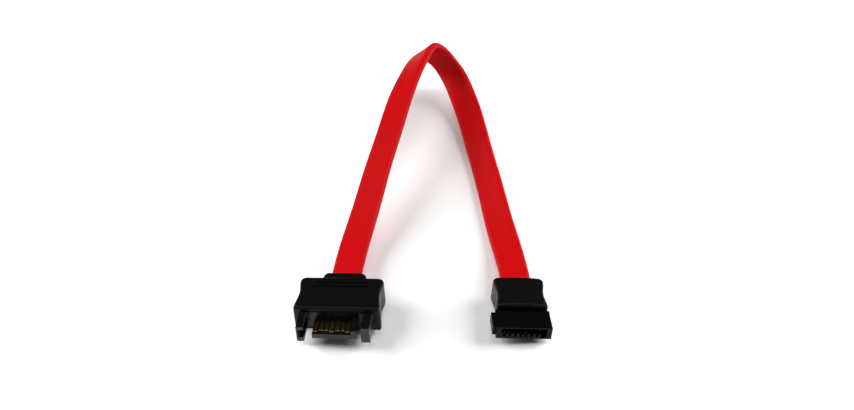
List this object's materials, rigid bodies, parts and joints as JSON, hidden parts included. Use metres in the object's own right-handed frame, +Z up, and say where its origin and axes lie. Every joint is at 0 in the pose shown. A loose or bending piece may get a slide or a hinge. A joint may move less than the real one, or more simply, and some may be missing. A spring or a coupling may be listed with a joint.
{
  "type": "sata extension cable",
  "caption": "Short flat red data extension cable with a moulded black plug and a moulded black receptacle, folded into a tall arch on a table.",
  "frame": {"origin": "on the table, at the middle of the box around the two connectors; the cable is left out of that box", "axes": "+X from the plug to the receptacle, +Y from the connectors' mouths to the cable's fold, +Z up from the table"},
  "size_m": [0.0602, 0.1104, 0.019],
  "materials": {
    "moulding": "satin black flexible moulding",
    "carrier": "smooth black moulding",
    "contact": "thin gold plating",
    "jacket": "satin red flexible jacket",
    "core": "pale foamed insulation",
    "drain": "tinned wire"
  },
  "bodies": {
    "root": {"plug_hood": "moulding", "receptacle_grip": "moulding", "plug_carrier": "carrier", "receptacle_carrier": "carrier", "plug_contact_1": "contact", "plug_contact_2": "contact", "plug_contact_3": "contact", "plug_contact_4": "contact", "plug_contact_5": "contact", "plug_contact_6": "contact", "plug_contact_7": "contact", "receptacle_contact_1": "contact", "receptacle_contact_2": "contact", "receptacle_contact_3": "contact", "receptacle_contact_4": "contact", "receptacle_contact_5": "contact", "receptacle_contact_6": "contact", "receptacle_contact_7": "contact", "cable_jacket": "jacket", "pair_a_core_1": "core", "pair_a_core_2": "core", "pair_b_core_1": "core", "pair_b_core_2": "core", "pair_a_outer_drain": "drain", "pair_a_inner_drain": "drain", "pair_b_outer_drain": "drain", "pair_b_inner_drain": "drain"}
  },
  "joints": []
}
